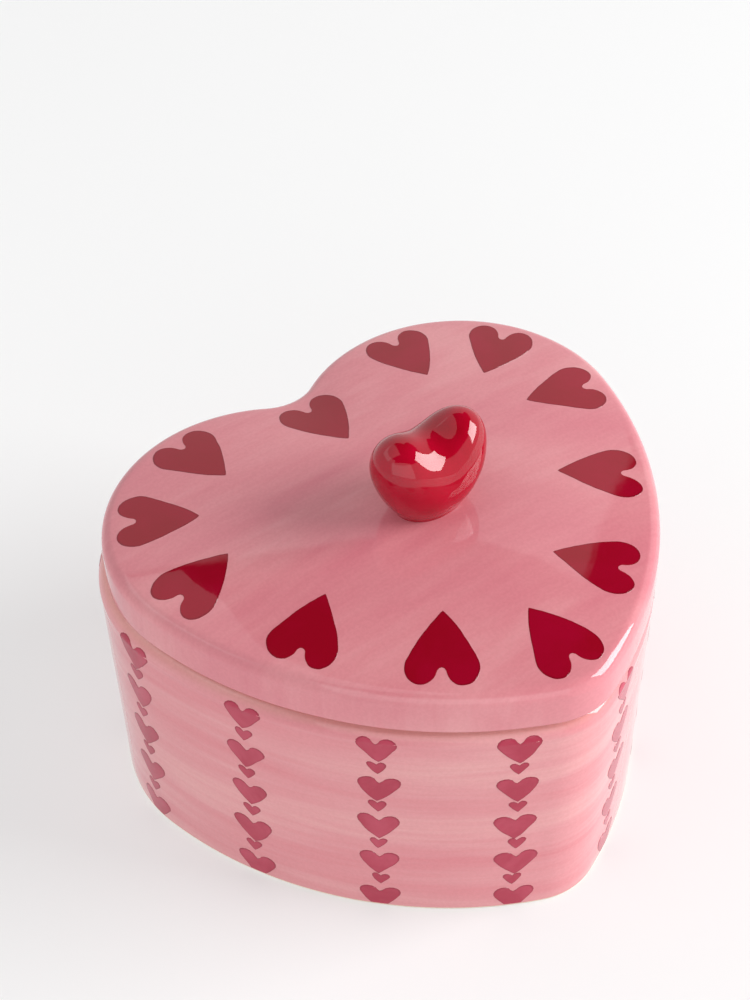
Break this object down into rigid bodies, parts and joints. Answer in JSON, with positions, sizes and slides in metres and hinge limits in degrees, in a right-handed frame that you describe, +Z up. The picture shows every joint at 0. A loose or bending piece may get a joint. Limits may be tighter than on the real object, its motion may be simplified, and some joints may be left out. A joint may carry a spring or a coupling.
{
  "type": "heart-shaped trinket box",
  "caption": "Heart-shaped glazed ceramic trinket box with an upright wall, a domed lift-off lid that a flange keeps in place, and a puffy heart knob.",
  "frame": {"origin": "centre of the footprint, on the surface that the foot stands on", "axes": "+Z up; -Y towards the tip of the heart; +Y towards the notch; +X to the right when the tip faces the viewer"},
  "size_m": [0.1212, 0.1102, 0.0929],
  "materials": {
    "pink_glaze": "hand-brushed pink under a clear gloss glaze",
    "red_glaze": "deep red gloss glaze",
    "heart_paint": "crimson underglaze hearts under the same clear gloss glaze",
    "bare_clay": "unglazed fired clay, matt"
  },
  "bodies": {
    "box": {"box_body": "pink_glaze"},
    "lid": {"lid": "pink_glaze", "knob": "red_glaze"}
  },
  "joints": [
    {"name": "lid_lift", "type": "slide", "parent": "box", "child": "lid", "axis": [0, 0, 1], "range_m": [0, 0.08]}
  ]
}
